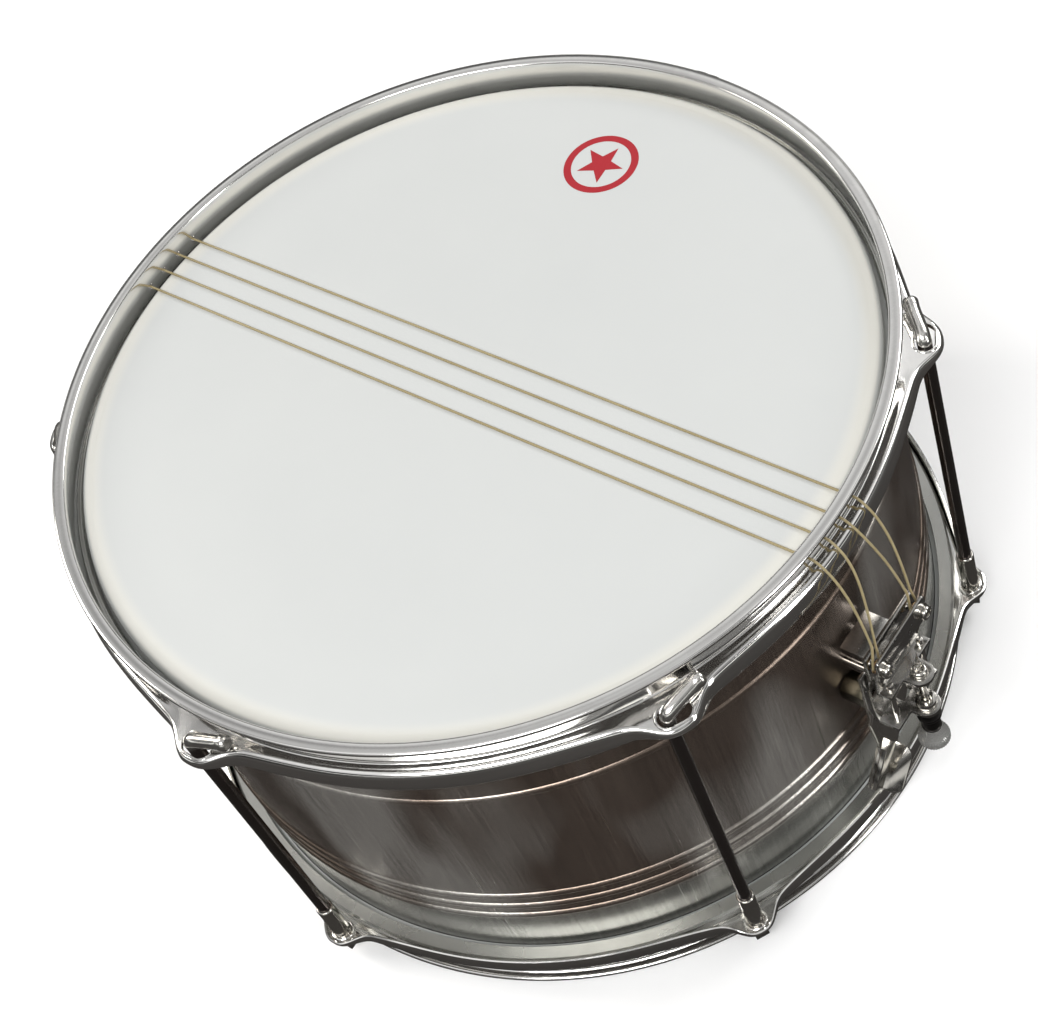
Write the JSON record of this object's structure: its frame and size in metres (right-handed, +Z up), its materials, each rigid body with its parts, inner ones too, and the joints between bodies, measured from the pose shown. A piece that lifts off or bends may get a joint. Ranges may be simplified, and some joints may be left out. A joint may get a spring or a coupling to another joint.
{
  "type": "snare drum",
  "caption": "Marching snare drum with flanged chrome hoops, hooked tension rods, gut snares lying on the top head and a side strainer with throw lever and adjuster.",
  "frame": {"origin": "on the drum's axis, in the plane of the bottom hoop's rim that the drum stands on", "axes": "+Z up along the drum's axis, +X from the axis towards the strainer, snares run along X"},
  "size_m": [0.4227, 0.4, 0.213],
  "materials": {
    "brushed_shell": "satin brown-grey lacquer over brushed metal",
    "chrome": "polished chrome plate",
    "head_film": "white translucent drum film with a matt coat",
    "flesh_ring": "plain drawn aluminium",
    "dark_rod": "dark nickel plated steel",
    "nickel": "satin nickel plate",
    "bronze": "dark bronze",
    "steel_plate": "zinc plated sheet",
    "gut": "pale twisted gut",
    "copper": "copper coloured binding",
    "black_steel": "black oxide steel"
  },
  "bodies": {
    "drum": {"shell": "brushed_shell", "top_hoop": "chrome", "bottom_hoop": "chrome", "top_head": "head_film", "bottom_head": "head_film", "top_flesh_hoop": "flesh_ring", "bottom_flesh_hoop": "flesh_ring", "tension_rods": "dark_rod", "nut_washers": "nickel", "strainer_base": "steel_plate", "strainer_standoffs": "bronze", "strainer_base_screws": "nickel", "strainer_shell_screws": "nickel", "slide_guide_studs": "nickel", "guide_stud_nuts": "nickel", "lever_pivot_bolt": "nickel", "butt_bracket": "steel_plate", "butt_standoffs": "bronze", "butt_bracket_screws": "nickel", "butt_shell_screws": "nickel", "butt_clamp_bar": "steel_plate", "butt_clamp_screws": "nickel", "butt_clamp_washers": "nickel", "butt_snare_loops": "copper", "snare_1": "gut", "snare_2": "gut", "snare_3": "gut", "snare_4": "gut"},
    "lever": {"throw_lever": "nickel"},
    "slide": {"tension_slide": "steel_plate", "clamp_guide_pins": "nickel", "adjuster_nut": "nickel"},
    "clamp": {"clamp_bracket": "steel_plate", "clamp_bar": "steel_plate", "clamp_screws": "nickel", "clamp_washers": "nickel", "snare_loops": "copper"},
    "adjuster": {"adjuster_screw": "nickel", "adjuster_collar": "black_steel", "adjuster_knob": "nickel"},
    "nut_1": {"tension_nut_1": "nickel"},
    "nut_2": {"tension_nut_2": "nickel"},
    "nut_3": {"tension_nut_3": "nickel"},
    "nut_4": {"tension_nut_4": "nickel"},
    "nut_5": {"tension_nut_5": "nickel"},
    "nut_6": {"tension_nut_6": "nickel"}
  },
  "joints": [
    {"name": "lever_throw", "type": "hinge", "parent": "drum", "child": "lever", "pos_m": [0.1903, 0, 0.095], "axis": [1, 0, 0], "range_deg": [0, 90]},
    {"name": "slide_rise", "type": "slide", "parent": "drum", "child": "slide", "axis": [0, 0, 1], "range_m": [0, 0.0086]},
    {"name": "clamp_adjust", "type": "slide", "parent": "slide", "child": "clamp", "axis": [0, 0, 1], "range_m": [-0.0014, 0.0014]},
    {"name": "adjuster_turn", "type": "hinge", "parent": "clamp", "child": "adjuster", "pos_m": [0.207, 0, 0.08], "axis": [0, 0, 1], "range_deg": [-725, 725]},
    {"name": "nut_turn_1", "type": "hinge", "parent": "drum", "child": "nut_1", "pos_m": [0.16671, 0.09625, 0.025], "axis": [0, 0, 1], "continuous": true},
    {"name": "nut_turn_2", "type": "hinge", "parent": "drum", "child": "nut_2", "pos_m": [0, 0.1925, 0.025], "axis": [0, 0, 1], "continuous": true},
    {"name": "nut_turn_3", "type": "hinge", "parent": "drum", "child": "nut_3", "pos_m": [-0.16671, 0.09625, 0.025], "axis": [0, 0, 1], "continuous": true},
    {"name": "nut_turn_4", "type": "hinge", "parent": "drum", "child": "nut_4", "pos_m": [-0.16671, -0.09625, 0.025], "axis": [0, 0, 1], "continuous": true},
    {"name": "nut_turn_5", "type": "hinge", "parent": "drum", "child": "nut_5", "pos_m": [0, -0.1925, 0.025], "axis": [0, 0, 1], "continuous": true},
    {"name": "nut_turn_6", "type": "hinge", "parent": "drum", "child": "nut_6", "pos_m": [0.16671, -0.09625, 0.025], "axis": [0, 0, 1], "continuous": true}
  ],
  "couplings": [
    {"joint": "slide_rise", "follows": "lever_throw", "m_per_rad": 0.0054113},
    {"joint": "adjuster_turn", "follows": "clamp_adjust", "rad_per_m": 8976}
  ]
}
